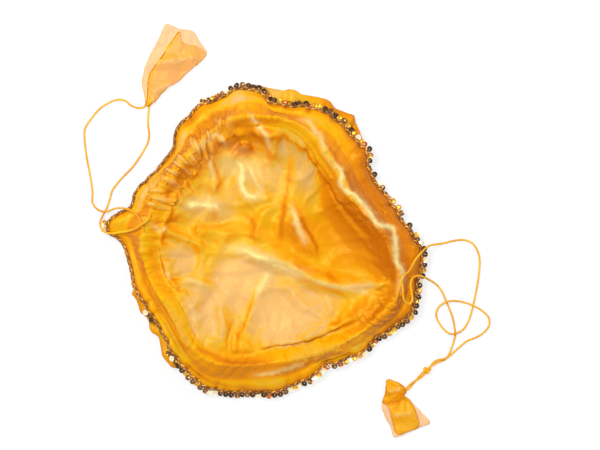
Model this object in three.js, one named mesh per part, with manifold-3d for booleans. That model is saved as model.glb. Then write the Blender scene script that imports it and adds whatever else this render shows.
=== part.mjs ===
// Potli bag of tissue cloth, laid open: an outer bag and a lining joined by two rows of
// stitching, which hold a tunnel for two drawstrings. Beyond the tunnel the cloth is a
// free ruffle, with a braid and a row of sequins along its edge. Each drawstring goes
// once round the tunnel, and its two ends meet in a folded cloth tassel.
// Millimetres, +Z up, origin under the middle of the bag on the surface that it lies on.

import * as THREE from 'three';
import * as BufferGeometryUtils from 'three/addons/utils/BufferGeometryUtils.js';
import Module from 'manifold-3d';

const CLOTH = 1.2;            // thickness of each cloth, with its small creases
const GAP = 0.3;              // between pieces that touch
const SEAM_GAP = 1.4;         // between the two cloths where they are sewn together
const TRIM_GAP = 1.0;         // from the lining up to what is sewn on it
const CORD = 2.0;             // diameter of a drawstring
const TUNNEL_LIFT = 3.0;      // how far the lining rises over the cords
const SEAM_TO_CREST = 9;      // from the inner row of stitches to the tunnel's crest
const SEAM_DROP = 4;          // from the crest down to the inner row
const OUTER_SEAM = 0.42;      // where the outer row lies, from the crest to the rim
const SEAM_DIP = 1.5;         // how deep the outer row pulls the ruffle in
const RUFFLE_RISE = 1.5;      // how far the ruffle swells again past it
const RUFFLE_SWELL = 0.74;    // and where, from the crest to the rim
const CORD_ROOM = 2.8;        // half the width of the tunnel's roof
const CORD_SPREAD = 1.7;      // each cord's distance from the tunnel's crest line
const CORD_LIFT = 1.2;        // height of a cord's middle over the seam line in the tunnel
const CORD_HOLE = [14, 5, 14]; // a buttonhole in the lining: length, width, depth of the cut
const PAIR = 1.25;            // half the distance of two strands that run together
const THREAD = 0.6;           // diameter of a row of stitches
const THREAD_ASIDE = 1.6;     // from the foot of the tunnel to its row of stitches
const BRAID_WIDTH = 3.4;
const BRAID_HEIGHT = 1.6;
const SEQUIN_WIDTH = 4.6;     // how far the sequins show past the cloth's edge
const SEQUIN_HEIGHT = 0.9;
const TASSEL_HEIGHT = 3.4;    // a square of cloth, folded and pressed
const TURNS = 72;             // steps round the bag
const CENTRE = [1.54, -0.63]; // from the middle of the traced outline to the origin

const RED_GOLD = 0xf4a40c;
const PALE_GOLD = 0xf8b93e;
const BROWN_GOLD = 0x8a5a1c;

const wasm = await Module();
wasm.setup();

// The cloth's edge, seen from above, with its height over the table
const RIM = [
  [144, -25, 10], [142, -10, 12], [135, 4, 11], [124, 20, 9], [114, 36, 8], [103, 52, 9],
  [92, 71, 11], [89, 84, 13], [80, 95, 15], [69, 108, 17], [54, 117, 18], [35, 123, 18],
  [18, 123, 18], [5, 125, 17], [-2, 135, 16], [-13, 141, 15], [-24, 142, 14], [-34, 137, 13],
  [-46, 130, 12], [-58, 126, 11], [-70, 115, 9], [-80, 102, 8], [-85, 87, 8], [-94, 75, 9],
  [-106, 63, 10], [-115, 52, 10], [-121, 39, 9], [-126, 30, 9], [-136, 25, 10], [-145, 17, 10],
  [-146, 9, 9], [-136, 2, 9], [-129, -13, 10], [-125, -29, 12], [-120, -43, 14], [-108, -62, 16],
  [-96, -81, 17], [-87, -99, 17], [-77, -115, 15], [-63, -129, 10], [-43, -138, 6], [-21, -140, 5],
  [0, -140, 5], [20, -134, 5], [39, -125, 6], [52, -115, 8], [66, -111, 9], [80, -105, 8],
  [95, -96, 7], [110, -83, 7], [124, -73, 8], [132, -62, 9], [136, -45, 10],
];

// The crest of the drawstring tunnel
const CREST = [
  [120, -48, 26], [121, -32, 28], [115, -15, 31], [110, 1, 33], [100, 15, 34], [86, 32, 34],
  [74, 47, 34], [66, 63, 34], [55, 80, 34], [43, 96, 33], [28, 107, 32], [12, 112, 31],
  [-4, 113, 30], [-21, 113, 30], [-38, 109, 29], [-54, 97, 28], [-69, 81, 27], [-83, 66, 26],
  [-95, 52, 25], [-102, 35, 25], [-109, 18, 25], [-113, 1, 24], [-111, -17, 22], [-105, -36, 22],
  [-94, -54, 24], [-82, -75, 25], [-70, -94, 24], [-54, -108, 22], [-34, -113, 20], [-13, -113, 20],
  [8, -110, 20], [29, -107, 20], [49, -101, 20], [69, -93, 20], [86, -83, 21], [102, -70, 22],
  [113, -59, 24],
];

// Where the body of the bag bellies out past the tunnel: direction and half width in degrees,
// and how far it goes past the crest
const BELLIES = [
  { at: 72, half: 34, out: 30 },
  { at: 216, half: 32, out: 25 },
];
const BELLY_LEAST = 1;        // the same elsewhere
const BELLY_HEIGHT = 5;       // where the belly reaches farthest out

// The closed smooth curve through the points, asked for by direction: its distance from
// the middle and its height
const SAMPLES = 12;           // for each listed point

function ringThrough(points) {
  const curve = new THREE.CatmullRomCurve3(points.map((p) => new THREE.Vector3(...p)), true);
  const spots = curve.getPoints(points.length * SAMPLES).slice(1).map((p) => ({
    angle: Math.atan2(p.y, p.x),
    reach: Math.hypot(p.x, p.y),
    z: p.z,
  }));
  spots.sort((a, b) => a.angle - b.angle);
  return (angle) => {
    const wrapped = Math.atan2(Math.sin(angle), Math.cos(angle));
    const found = spots.findIndex((s) => s.angle > wrapped);
    const next = found < 0 ? 0 : found;
    const a = spots[(next + spots.length - 1) % spots.length];
    const b = spots[next];
    const whole = (b.angle - a.angle + 2 * Math.PI) % (2 * Math.PI);
    const share = ((wrapped - a.angle + 2 * Math.PI) % (2 * Math.PI)) / whole;
    return {
      reach: THREE.MathUtils.lerp(a.reach, b.reach, share),
      z: THREE.MathUtils.lerp(a.z, b.z, share),
    };
  };
}

const rimAt = ringThrough(RIM);
const crestAt = ringThrough(CREST);

function bellyPast(angle) {
  let out = BELLY_LEAST;
  for (const belly of BELLIES) {
    const turn = THREE.MathUtils.radToDeg(angle) - belly.at;
    const off = Math.abs(((turn + 540) % 360) - 180);
    const near = THREE.MathUtils.smoothstep(belly.half - off, 0, belly.half / 2);
    out += (belly.out - BELLY_LEAST) * near;
  }
  return out;
}

// Profiles of the cloth from the middle out, as [reach, height, lift] in one direction.
// The seam line between the two cloths runs at lift 0. The shares are of the way from the
// middle to the crest.
const FLOOR = CLOTH + SEAM_GAP / 2;
const SEAM_LENGTH = 0.3;      // of the seam to crest distance, where the cloths meet
const OUTER_FLAT = 0.82;      // the outer bag lies flat as far as here
const LINING_FLAT = 0.42;     // and the lining as far as here
const LINING_TURN = 0.66;     // it rises slowly to here
const LINING_WALL = 0.8;      // and from here it is a wall
const WALL_FOOT = 0.25;       // height of the wall's foot, as a share of the crest's
const WAIST = 0.5;            // height at which the belly's top meets the tunnel, likewise

function ruffle(crest, rim, withTunnel) {
  const width = rim.reach - crest.reach;
  const at = (share, rise) => [
    crest.reach + share * width,
    THREE.MathUtils.lerp(crest.z, rim.z, share) + rise,
  ];
  // From the inner seam, at 0, to the crest, at 1
  const inside = (share) => [
    crest.reach - (1 - share) * SEAM_TO_CREST,
    crest.z - (1 - share) * SEAM_DROP,
  ];
  // From the crest, at 0, to the outer seam, at 1
  const outside = (share) => at(share * OUTER_SEAM, -share * SEAM_DIP);
  const past = CORD_ROOM / (OUTER_SEAM * width);
  const tunnel = withTunnel
    ? [
      [...inside(0.4), TUNNEL_LIFT * 0.85],
      [...inside(1 - CORD_ROOM / SEAM_TO_CREST), TUNNEL_LIFT],
      [...inside(1), TUNNEL_LIFT],
      [...outside(past), TUNNEL_LIFT],
      [...outside(0.5 + past / 2), TUNNEL_LIFT * 0.6],
    ]
    : [[...inside(1), 0]];
  return [
    [...inside(-SEAM_LENGTH), 0],
    [...inside(0), 0],
    ...tunnel,
    [...outside(1), 0],
    [...at(RUFFLE_SWELL, RUFFLE_RISE), 0],
    [rim.reach, rim.z, 0],
  ];
}

function outerProfile(angle) {
  const crest = crestAt(angle);
  const belly = crest.reach + bellyPast(angle);
  return [
    [0, FLOOR, 0],
    [crest.reach * OUTER_FLAT / 2, FLOOR, 0],
    [crest.reach * OUTER_FLAT, FLOOR, 0],
    [belly - 3, FLOOR + 1, 0],
    [belly, BELLY_HEIGHT, 0],
    [belly - 5, BELLY_HEIGHT + 3, 0],
    [crest.reach - 3, crest.z * WAIST, 0],
    ...ruffle(crest, rimAt(angle), false),
  ];
}

function liningProfile(angle) {
  const crest = crestAt(angle);
  return [
    [0, FLOOR, 0],
    [crest.reach * LINING_FLAT, FLOOR, 0],
    [crest.reach * LINING_TURN, FLOOR + 1, 0],
    [crest.reach * LINING_WALL, FLOOR + crest.z * WALL_FOOT, 0],
    ...ruffle(crest, rimAt(angle), true),
  ];
}

function directionAt(profile, i) {
  const before = profile[Math.max(i - 1, 0)];
  const after = profile[Math.min(i + 1, profile.length - 1)];
  return new THREE.Vector2(after[0] - before[0], after[1] - before[1]).normalize();
}

// The profile moved sideways by its lift and by a further distance, square to itself
function offsetProfile(profile, distance) {
  return profile.map(([reach, z, lift], i) => {
    const along = directionAt(profile, i);
    const move = distance + lift;
    return [i === 0 ? 0 : reach - along.y * move, z + along.x * move];
  });
}

function polar(angle, reach, z) {
  return new THREE.Vector3(reach * Math.cos(angle), reach * Math.sin(angle), z);
}

// A ring or dish: a lathe whose profile has count points, each then put where place says
function turned(count, place) {
  const blank = Array.from({ length: count }, (_, j) => new THREE.Vector2(1, j));
  const geometry = new THREE.LatheGeometry(blank, TURNS);
  const position = geometry.attributes.position;
  for (let turn = 0; turn <= TURNS; turn += 1) {
    const spots = place(((turn % TURNS) / TURNS) * 2 * Math.PI);
    spots.forEach((spot, j) => position.setXYZ(turn * count + j, spot.x, spot.y, spot.z));
  }
  return geometry;
}

// One cloth of the bag, between two distances from the seam line
function clothGeometry(profileAt, low, high) {
  const count = 2 * profileAt(0).length;
  return turned(count, (angle) => {
    const under = offsetProfile(profileAt(angle), low);
    const over = offsetProfile(profileAt(angle), high).reverse();
    return [...under, ...over].map(([reach, z]) => polar(angle, reach, z));
  });
}

// A strip along the bag, with its section's [out, up] points measured from the lining's
// seam line at one station, counted from the rim
function stripGeometry(section, stationFromRim) {
  return turned(section.length + 1, (angle) => {
    const profile = liningProfile(angle);
    const i = profile.length - 1 - stationFromRim;
    const [reach, z] = profile[i];
    const along = directionAt(profile, i);
    const spots = section.map(([out, up]) => polar(
      angle,
      reach + along.x * out - along.y * up,
      z + along.y * out + along.x * up,
    ));
    return [...spots, spots[0]];
  });
}

function box(out, up, width, height) {
  return [
    [out + width, up],
    [out + width, up + height],
    [out, up + height],
    [out, up],
  ];
}

const LINING_TOP = SEAM_GAP / 2 + CLOTH;

const braidSection = box(-BRAID_WIDTH, LINING_TOP + TRIM_GAP, BRAID_WIDTH, BRAID_HEIGHT);
const sequinSection = box(GAP, -SEQUIN_HEIGHT / 2, SEQUIN_WIDTH, SEQUIN_HEIGHT);
const outerThread = box(THREAD_ASIDE, LINING_TOP + TRIM_GAP, THREAD, THREAD);
const innerThread = box(-THREAD_ASIDE - THREAD, LINING_TOP + TRIM_GAP, THREAD, THREAD);

// The left drawstring leaves the tunnel by two buttonholes on the left of the bag. Each
// strand is listed from its buttonhole to the tassel: over the ruffle and its edge, down
// to the table, and along it in the curves it fell in.
const LEFT_UPPER = [
  [-111, 9.5, 28], [-113, 15, 31], [-115, 20, 30], [-119, 25, 23], [-124, 28, 19.5],
  [-130, 30, 16], [-138, 30, 11], [-147, 27, 7], [-155, 29, 3.5], [-160, 35, 1.4],
  [-160, 45, 1.2], [-162, 59, 1.2], [-165, 75, 1.2], [-167, 90, 1.2], [-167, 103, 1.2],
  [-160, 114, 1.2], [-153, 122, 1.2], [-147, 126, 1.2], [-141, 129, 1.2], [-136, 130, 1.2],
  [-130, 129, 1.2], [-125, 125, 1.2], [-119, 122.5, 1.2], [-113, 122, 1.2],
];
const LEFT_LOWER = [
  [-105, 25, 29], [-107, 20, 32], [-112, 16, 33.8], [-118, 12, 29], [-127, 9, 22],
  [-135, 8, 19.5], [-141, 7, 17], [-147, 8, 15], [-151, 11.5, 12], [-152.5, 17, 8.5],
  [-150, 24, 4.5], [-147, 30, 2.2], [-144, 39, 1.2], [-142, 46, 1.2], [-138, 52, 1.2],
  [-131, 60, 1.2], [-124, 67, 1.2], [-118, 75, 1.2], [-113, 83, 1.2], [-109, 91, 1.2],
  [-108, 97, 1.2], [-109, 108, 1.2], [-109.5, 119, 1.2],
];

// The right drawstring, listed in the same way as far as the place where its strands meet
const RIGHT_LONG = [
  [117, -55.5, 28], [119, -50, 32], [120.5, -44, 33.6], [122, -38, 34.4], [124, -32, 34],
  [130, -27, 27], [133, -22, 24], [136, -17, 22.5], [140, -12, 20.5], [145, -7, 16.5],
  [150, -4, 11], [156, -3, 5], [163, -2, 1.6], [171, 0, 1.2], [181, 1, 1.2],
  [189, -2, 1.2], [194, -9, 1.2], [196, -18, 1.2], [195, -32, 1.2], [193, -45, 1.2],
  [190, -59, 1.2], [186, -73, 1.2], [181, -81, 2.2], [174, -85, 3.8], [168, -85, 2.6],
  [162, -80, 1.4], [157, -72, 1.4], [156, -66, 2], [159, -60, 3], [165, -56, 3.8],
  [171, -55, 3], [180, -56, 2.8], [189, -59, 3.8], [198, -64, 2], [204, -70, 1.2],
  [205, -76, 1.2], [202, -82, 1.2], [194, -88, 1.2], [184, -92, 1.2], [178, -95, 1.2],
];
const RIGHT_SHORT = [
  [123, -37, 32], [124, -43.5, 34], [124.5, -50, 33], [126.5, -55.5, 29], [130.5, -57, 26],
  [133, -53.5, 24.5], [132.5, -47, 24.5], [131.5, -40, 25], [133, -34, 23.5], [138, -31.5, 20],
  [144, -33, 16], [150, -36, 9], [156, -40, 3.5], [161, -46, 1.4], [165, -55, 1.2],
  [168, -62, 1.2], [171, -70, 1.2], [173, -80, 1.2], [173.5, -88, 1.2], [172.5, -94, 1.2],
];
// From there the two run side by side to the tassel
const RIGHT_PAIR = [
  [171, -100, 1.2], [168, -105, 1.2], [164, -108.5, 1.2], [156, -111, 1.2], [150, -116, 1.2],
  [146, -120, 1.2], [141, -125, 1.2], [135, -130, 1.2], [129, -136, 1.2],
];

// The outlines of the two folded tassels
const TASSEL_LEFT = [
  [-110, 123.5], [-103, 127], [-97, 134], [-90, 141], [-81, 146], [-73, 154], [-58, 167],
  [-55, 173], [-61, 183], [-68, 193], [-80, 195], [-92, 199], [-99, 186], [-105, 175],
  [-110, 164], [-113, 155], [-114.5, 145], [-112, 133],
];
const TASSEL_RIGHT = [
  [127, -139.5], [121, -137], [115, -131], [111, -127], [109, -132], [106, -144],
  [105, -151], [109, -162], [114, -171], [117, -180], [122, -179], [128, -177], [140, -172],
  [150, -167], [144, -159], [137, -152], [132, -146],
];

// A stretch of cord inside the tunnel, from one direction round to another, in degrees
const TUNNEL_STEP = 8;
const CORD_SINK = 0.5;        // how much lower a cord lies for each millimetre off the crest

function tunnelStretch(aside, from, to) {
  const steps = Math.round(Math.abs(to - from) / TUNNEL_STEP);
  return Array.from({ length: steps + 1 }, (_, i) => {
    const angle = THREE.MathUtils.degToRad(THREE.MathUtils.lerp(from, to, i / steps));
    const crest = crestAt(angle);
    return polar(angle, crest.reach + aside, crest.z + CORD_LIFT - Math.abs(aside) * CORD_SINK);
  });
}

function toVectors(points) {
  return points.map((p) => new THREE.Vector3(...p));
}

// The points moved sideways in plan, for a strand that runs beside another
function beside(points, distance) {
  return toVectors(points).map((point, i, all) => {
    const along = all[Math.min(i + 1, all.length - 1)].clone().sub(all[Math.max(i - 1, 0)]);
    along.z = 0;
    along.normalize();
    return new THREE.Vector3(point.x - along.y * distance, point.y + along.x * distance, point.z);
  });
}

const CORD_SIDES = 8;
const CORD_STEPS = 1.5;       // for each listed point

function cordGeometry(points) {
  const route = new THREE.CatmullRomCurve3(points);
  // Steps follow the listed points, so that the tight loops get the short steps
  route.getUtoTmapping = (u) => u;
  const section = new THREE.Shape(
    Array.from({ length: CORD_SIDES }, (_, i) => new THREE.Vector2(
      Math.cos((i * 2 * Math.PI) / CORD_SIDES) * (CORD / 2),
      Math.sin((i * 2 * Math.PI) / CORD_SIDES) * (CORD / 2),
    )),
  );
  const steps = Math.round(points.length * CORD_STEPS);
  return new THREE.ExtrudeGeometry(section, { steps, extrudePath: route, bevelEnabled: false });
}

function tasselGeometry(outline) {
  const shape = new THREE.Shape(outline.map(([x, y]) => new THREE.Vector2(x, y)));
  return new THREE.ExtrudeGeometry(shape, { depth: TASSEL_HEIGHT, bevelEnabled: false });
}

function solid(geometry) {
  const bare = geometry.clone();
  bare.deleteAttribute('normal');
  bare.deleteAttribute('uv');
  const merged = BufferGeometryUtils.mergeVertices(bare, 1e-4);
  return new wasm.Manifold(new wasm.Mesh({
    numProp: 3,
    vertProperties: new Float32Array(merged.attributes.position.array),
    triVerts: new Uint32Array(merged.index.array),
  }));
}

function fromSolid(manifold) {
  const mesh = manifold.getMesh();
  const geometry = new THREE.BufferGeometry();
  geometry.setAttribute('position', new THREE.BufferAttribute(mesh.vertProperties, 3));
  geometry.setIndex(new THREE.BufferAttribute(mesh.triVerts, 1));
  return geometry;
}

// The buttonholes, each where a strand rises through the roof of the tunnel: its middle
// and the direction of the tunnel there, in degrees
const HOLES = [
  { x: -111.2, y: 10, z: 29, turn: 77 },
  { x: -105.3, y: 24.5, z: 30, turn: 68 },
  { x: 116.8, y: -56, z: 30, turn: 57 },
  { x: 122.8, y: -37, z: 32, turn: 93 },
];

function liningGeometry() {
  let lining = solid(clothGeometry(liningProfile, SEAM_GAP / 2, LINING_TOP));
  for (const hole of HOLES) {
    const cut = new THREE.BoxGeometry(...CORD_HOLE);
    cut.rotateZ(THREE.MathUtils.degToRad(hole.turn));
    cut.translate(hole.x, hole.y, hole.z);
    lining = lining.subtract(solid(cut));
  }
  return fromSolid(lining);
}

const leftDrawstring = [
  ...toVectors(LEFT_UPPER).reverse(),
  ...tunnelStretch(-CORD_SPREAD, 178, 524),
  ...toVectors(LEFT_LOWER),
];
const rightDrawstring = [
  ...beside(RIGHT_PAIR, PAIR).reverse(),
  ...toVectors(RIGHT_LONG).reverse(),
  ...tunnelStretch(CORD_SPREAD, 331.5, -14),
  ...toVectors(RIGHT_SHORT),
  ...beside(RIGHT_PAIR, -PAIR),
];

const parts = new THREE.Group();
parts.position.set(CENTRE[0], CENTRE[1], 0);

function addPiece(name, geometry, color, roughness, metalness = 0) {
  const material = new THREE.MeshStandardMaterial({ color, roughness, metalness });
  const mesh = new THREE.Mesh(geometry, material);
  mesh.name = name;
  parts.add(mesh);
}

addPiece('outer_bag', clothGeometry(outerProfile, -LINING_TOP, -SEAM_GAP / 2), RED_GOLD, 0.4);
addPiece('lining', liningGeometry(), PALE_GOLD, 0.35);
addPiece('rim_braid', stripGeometry(braidSection, 0), BROWN_GOLD, 0.5, 0.3);
addPiece('sequin_row', stripGeometry(sequinSection, 0), BROWN_GOLD, 0.2, 0.8);
addPiece('outer_seam_thread', stripGeometry(outerThread, 2), BROWN_GOLD, 0.7);
addPiece('inner_seam_thread', stripGeometry(innerThread, 8), BROWN_GOLD, 0.7);
addPiece('drawstring_left', cordGeometry(leftDrawstring), RED_GOLD, 0.5);
addPiece('drawstring_right', cordGeometry(rightDrawstring), RED_GOLD, 0.5);
addPiece('tassel_left', tasselGeometry(TASSEL_LEFT), PALE_GOLD, 0.4);
addPiece('tassel_right', tasselGeometry(TASSEL_RIGHT), PALE_GOLD, 0.4);

export default parts;
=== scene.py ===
import math
import random

import bmesh
import bpy
import numpy as np
from mathutils import Matrix, Vector, geometry, noise


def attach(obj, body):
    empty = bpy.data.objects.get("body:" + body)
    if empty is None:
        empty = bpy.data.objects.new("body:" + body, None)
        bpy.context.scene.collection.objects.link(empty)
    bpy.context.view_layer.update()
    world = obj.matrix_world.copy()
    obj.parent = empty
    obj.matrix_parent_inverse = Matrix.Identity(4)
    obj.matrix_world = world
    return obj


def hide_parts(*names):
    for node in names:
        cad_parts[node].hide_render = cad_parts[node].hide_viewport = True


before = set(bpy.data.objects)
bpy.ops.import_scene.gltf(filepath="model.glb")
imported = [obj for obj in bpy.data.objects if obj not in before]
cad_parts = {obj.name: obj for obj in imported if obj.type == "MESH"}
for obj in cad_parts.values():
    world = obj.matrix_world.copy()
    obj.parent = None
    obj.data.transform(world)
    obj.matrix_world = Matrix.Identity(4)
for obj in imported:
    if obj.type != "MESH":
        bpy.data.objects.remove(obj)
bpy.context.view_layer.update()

# The view is straight down on a white table, where the bag lies open. The picture shows
# 552 mm of the table from side to side, and the bag lies a little left of and below its middle.
PICTURE_WIDTH = 0.552
PICTURE_CENTRE = (0.0323, 0.0141)
CAMERA_HEIGHT = 2.5

scene = bpy.context.scene


def link(name, data):
    piece = bpy.data.objects.new(name, data)
    scene.collection.objects.link(piece)
    return piece


camera_data = bpy.data.cameras.new("camera")
camera_data.lens = camera_data.sensor_width * CAMERA_HEIGHT / PICTURE_WIDTH
camera = link("camera", camera_data)
camera.location = (*PICTURE_CENTRE, CAMERA_HEIGHT)
scene.camera = camera
scene.view_settings.view_transform = "Standard"

# The table is a flat board, painted white, and lies just under the bag. What the eye sees of
# it is mostly an even white, and the rest takes the light and the bag's shadow.
TABLE_SIZE = 3.0
TABLE_DROP = 0.0003
EVEN_WHITE = 0.75

table_mesh = bmesh.new()
bmesh.ops.create_grid(table_mesh, x_segments=1, y_segments=1, size=TABLE_SIZE)
bmesh.ops.translate(table_mesh, verts=table_mesh.verts, vec=(0, 0, -TABLE_DROP))
table_data = bpy.data.meshes.new("table")
table_mesh.to_mesh(table_data)
table = link("table", table_data)


def add_node(tree, kind, inputs=(), **settings):
    node = tree.nodes.new(kind)
    for name, value in settings.items():
        setattr(node, name, value)
    for socket, value in dict(inputs).items():
        if isinstance(value, bpy.types.NodeSocket):
            tree.links.new(value, node.inputs[socket])
        else:
            node.inputs[socket].default_value = value
    return node


def new_material(name):
    material = bpy.data.materials.new(name)
    material.use_nodes = True
    material.node_tree.nodes.clear()
    return material, material.node_tree


def colour(hex_code):
    """The linear colour of an sRGB hex value."""
    channels = [int(hex_code[i:i + 2], 16) / 255 for i in (1, 3, 5)]
    linear = [c / 12.92 if c <= 0.04045 else ((c + 0.055) / 1.055) ** 2.4 for c in channels]
    return (*linear, 1.0)


def seen_by_eye(tree):
    """1 for what the eye meets, also in a mirror or through glass, and 0 for light."""
    rays = add_node(tree, "ShaderNodeLightPath").outputs
    plain = {0: rays["Is Camera Ray"], 1: rays["Is Glossy Ray"]}
    mirrored = add_node(tree, "ShaderNodeMath", plain, operation="MAXIMUM")
    through = {0: mirrored.outputs[0], 1: rays["Is Transmission Ray"]}
    return add_node(tree, "ShaderNodeMath", through, operation="MAXIMUM").outputs[0]


# Matt white paint, which gives the eye a clean pale ground without any gloss.
white_table, tree = new_material("white_table")
share = add_node(tree, "ShaderNodeMath", {0: seen_by_eye(tree), 1: EVEN_WHITE}, operation="MULTIPLY")
paint = add_node(tree, "ShaderNodeBsdfDiffuse", {"Color": colour("#F3F3F3")})
glow = add_node(tree, "ShaderNodeEmission", {"Color": colour("#FFFFFF"), "Strength": 1.0})
mixed = add_node(tree, "ShaderNodeMixShader", {
    0: share.outputs[0], 1: paint.outputs[0], 2: glow.outputs[0],
})
add_node(tree, "ShaderNodeOutputMaterial", {"Surface": mixed.outputs[0]})
table_data.materials.append(white_table)

# Soft studio light: an even white room, a large soft lamp high on the upper left and a
# smaller one on the right that only gives the shiny cloth its second glint. Each is given
# with its place, its size and its power.
LAMPS = (
    ("key_lamp", (-0.55, 0.5, 1.75), 0.7, 26.5),
    ("side_lamp", (1.3, 0.5, 1.0), 0.5, 6.0),
)
ROOM_LIGHT = 0.52

for name, place, size, power in LAMPS:
    lamp_data = bpy.data.lights.new(name, "AREA")
    lamp_data.size = size
    lamp_data.energy = power
    lamp = link(name, lamp_data)
    lamp.location = place
    lamp.rotation_euler = (-Vector(place)).to_track_quat("-Z", "Y").to_euler()

world = bpy.data.worlds.new("white_room")
world.use_nodes = True
tree = world.node_tree
tree.nodes.clear()
seen_white = {0: seen_by_eye(tree), 1: 1.0 - ROOM_LIGHT, 2: ROOM_LIGHT}
strength = add_node(tree, "ShaderNodeMath", seen_white, operation="MULTIPLY_ADD")
room = add_node(tree, "ShaderNodeBackground", {
    "Color": colour("#FFFFFF"), "Strength": strength.outputs[0],
})
add_node(tree, "ShaderNodeOutputWorld", {"Surface": room.outputs[0]})
scene.world = world


# The drawstrings are 2 mm cords of golden rayon, laid from three strands. Each goes once
# round the tunnel, and its two ends come out through buttonholes and run to a tassel. Their
# lines are points in millimetres from the bag's middle, which lies at CENTRE.
CENTRE = Vector((0.00154, -0.00063, 0.0))
CORD = 0.002
CORD_PITCH = 0.007
CORD_STEP = 0.0009
CORD_SIDES = 12
STRANDS = 3
LEFT_UPPER = [
    (-111, 9.5, 28), (-113, 15, 31), (-115, 20, 30), (-119, 25, 23), (-124, 28, 19.5), (-130, 30, 16),
    (-138, 30, 11), (-147, 27, 7), (-155, 29, 3.5), (-160, 35, 1.4), (-160, 45, 1.2), (-162, 59, 1.2),
    (-165, 75, 1.2), (-167, 90, 1.2), (-167, 103, 1.2), (-160, 114, 1.2), (-153, 122, 1.2),
    (-147, 126, 1.2), (-141, 129, 1.2), (-136, 130, 1.2), (-130, 129, 1.2), (-125, 125, 1.2),
    (-119, 122.5, 1.2), (-113, 123, 1.6), (-109.5, 127.5, 2),
]
LEFT_LOWER = [
    (-105, 25, 29), (-107, 20, 32), (-112, 16, 33.8), (-118, 12, 29), (-127, 9, 22), (-135, 8, 19.5),
    (-141, 7, 17), (-147, 8, 15), (-151, 11.5, 12), (-152.5, 17, 8.5), (-150, 24, 4.5),
    (-147, 30, 2.2), (-144, 39, 1.2), (-142, 46, 1.2), (-138, 52, 1.2), (-131, 60, 1.2),
    (-124, 67, 1.2), (-118, 75, 1.2), (-113, 83, 1.2), (-109, 91, 1.2), (-108, 97, 1.2),
    (-109, 108, 1.2), (-108.5, 119, 1.2), (-107.5, 128, 2.4),
]
RIGHT_LONG = [
    (117, -55.5, 28), (119, -50, 32), (120.5, -44, 33.6), (122, -38, 34.4), (124, -32, 34),
    (130, -27, 27), (133, -22, 24), (136, -17, 22.5), (140, -12, 20.5), (145, -7, 16.5),
    (150, -4, 11), (156, -3, 5), (163, -2, 1.6), (171, 0, 1.2), (181, 1, 1.2), (189, -2, 1.2),
    (194, -9, 1.2), (196, -18, 1.2), (195, -32, 1.2), (193, -45, 1.2), (190, -59, 1.2),
    (186, -73, 1.2), (181, -81, 2.2), (174, -85, 3.8), (168, -85, 2.6), (162, -80, 1.4),
    (157, -72, 1.4), (156, -66, 2), (159, -60, 3), (165, -56, 3.8), (171, -55, 3), (180, -56, 2.8),
    (189, -59, 3.8), (198, -64, 2), (204, -70, 1.2), (205, -76, 1.2), (202, -82, 1.2),
    (194, -88, 1.2), (184, -92, 1.2), (178, -95, 1.2),
]
RIGHT_SHORT = [
    (123, -37, 32), (124, -43.5, 34), (124.5, -50, 33), (126.5, -55.5, 29), (130.5, -57, 26),
    (133, -53.5, 24.5), (132.5, -47, 24.5), (131.5, -40, 25), (133, -34, 23.5), (138, -31.5, 20),
    (144, -33, 16), (150, -36, 9), (156, -40, 3.5), (161, -46, 1.4), (165, -55, 1.2), (168, -62, 1.2),
    (171, -70, 1.2), (173, -80, 1.2), (173.5, -88, 1.2), (172.5, -94, 1.2),
]
RIGHT_PAIR = [
    (171, -100, 1.2), (168, -105, 1.2), (164, -108.5, 1.2), (156, -111, 1.2), (150, -116, 1.2),
    (146, -120, 1.2), (141, -125, 1.2), (135, -130, 1.2), (129, -136, 1.4), (124, -139.5, 2.2),
]


def metres(points):
    """Points that are listed in millimetres."""
    return [[value / 1000 for value in point] for point in points]


def placed(points):
    return [Vector(p) + CENTRE for p in metres(points)]


def smooth_line(points, step, closed=False):
    """Points along the smooth curve through the listed ones, about step apart."""
    spots = [Vector(p) for p in points]
    count = len(spots)
    line = []
    for i in range(count if closed else count - 1):
        if closed:
            a, b, c, d = (spots[(i + k) % count] for k in (-1, 0, 1, 2))
        else:
            b, c = spots[i], spots[i + 1]
            a = spots[i - 1] if i > 0 else 2 * b - c
            d = spots[i + 2] if i + 2 < count else 2 * c - b
        before, across, after = ((q - p).length ** 0.5 for p, q in ((a, b), (b, c), (c, d)))
        start = ((b - a) / before - (c - a) / (before + across) + (c - b) / across) * across
        end = ((c - b) / across - (d - b) / (across + after) + (d - c) / after) * across
        pieces = max(1, round((c - b).length / step))
        for k in range(pieces):
            t = k / pieces
            line.append(
                b * (2 * t**3 - 3 * t**2 + 1) + start * (t**3 - 2 * t**2 + t)
                + c * (3 * t**2 - 2 * t**3) + end * (t**3 - t**2)
            )
    if not closed:
        line.append(spots[-1])
    return line


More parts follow.
